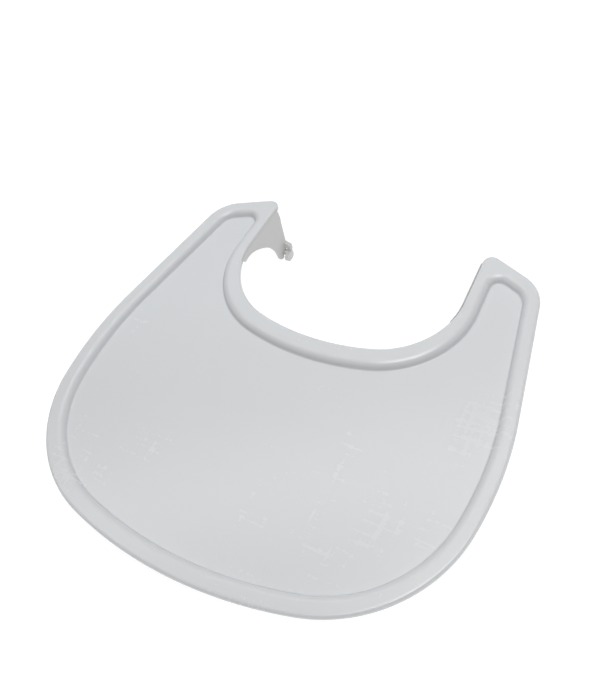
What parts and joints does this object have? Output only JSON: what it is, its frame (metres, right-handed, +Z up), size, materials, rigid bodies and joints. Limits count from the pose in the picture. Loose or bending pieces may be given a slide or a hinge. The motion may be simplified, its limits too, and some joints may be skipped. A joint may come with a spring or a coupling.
{
  "type": "detachable high chair tray",
  "caption": "White moulded tray with a raised rim, shallow well and body cut-out, on two clip-on arms with sprung lock pins and finger levers.",
  "frame": {"origin": "bottom centre of the tray's bounding box: on the centre line, midway front to back, at the height of the finger tabs' lowest points", "axes": "+Z up, normal to the rim; +Y towards the child, the side of the cut-out and arms; +X to the right when seen from the front edge"},
  "size_m": [0.4798, 0.4612, 0.078],
  "materials": {
    "tray_white": "smooth satin ABS, cool white",
    "arm_white": "fine-grained satin ABS, white",
    "lever_white": "satin acetal, white",
    "bolt_acetal": "glass-filled nylon, light grey",
    "pad_rubber": "matt soft elastomer, grey",
    "zinc_steel": "zinc-plated steel",
    "pin_steel": "ground stainless steel",
    "spring_steel": "drawn spring steel"
  },
  "bodies": {
    "tray": {"tray_top": "tray_white", "left_arm": "arm_white", "left_arm_screws": "zinc_steel", "left_rail_pad": "pad_rubber", "left_pivot_pin": "pin_steel", "left_lock_spring": "spring_steel", "left_latch_cover": "arm_white", "left_cover_screws": "zinc_steel", "right_arm": "arm_white", "right_arm_screws": "zinc_steel", "right_rail_pad": "pad_rubber", "right_pivot_pin": "pin_steel", "right_lock_spring": "spring_steel", "right_latch_cover": "arm_white", "right_cover_screws": "zinc_steel"},
    "left_lever": {"left_latch_lever": "lever_white"},
    "right_lever": {"right_latch_lever": "lever_white"},
    "left_bolt": {"left_lock_bolt": "bolt_acetal"},
    "right_bolt": {"right_lock_bolt": "bolt_acetal"}
  },
  "joints": [
    {"name": "left_lever_pivot", "type": "hinge", "parent": "tray", "child": "left_lever", "pos_m": [-0.135, 0.21046, 0.024], "axis": [0, 1, 0], "range_deg": [0, 7.8], "stiffness_Nm_per_rad": 0.55, "springref_deg": -5.73},
    {"name": "left_bolt_slide", "type": "slide", "parent": "tray", "child": "left_bolt", "axis": [1, 0, 0], "range_m": [0, 0.0042], "deforming": ["left_lock_spring"]},
    {"name": "right_lever_pivot", "type": "hinge", "parent": "tray", "child": "right_lever", "pos_m": [0.135, 0.21046, 0.024], "axis": [0, -1, 0], "range_deg": [0, 7.8], "stiffness_Nm_per_rad": 0.55, "springref_deg": -5.73},
    {"name": "right_bolt_slide", "type": "slide", "parent": "tray", "child": "right_bolt", "axis": [-1, 0, 0], "range_m": [0, 0.0042], "deforming": ["right_lock_spring"]}
  ],
  "couplings": [
    {"joint": "left_bolt_slide", "follows": "left_lever_pivot", "m_per_rad": 0.03026},
    {"joint": "right_bolt_slide", "follows": "right_lever_pivot", "m_per_rad": 0.03026}
  ]
}
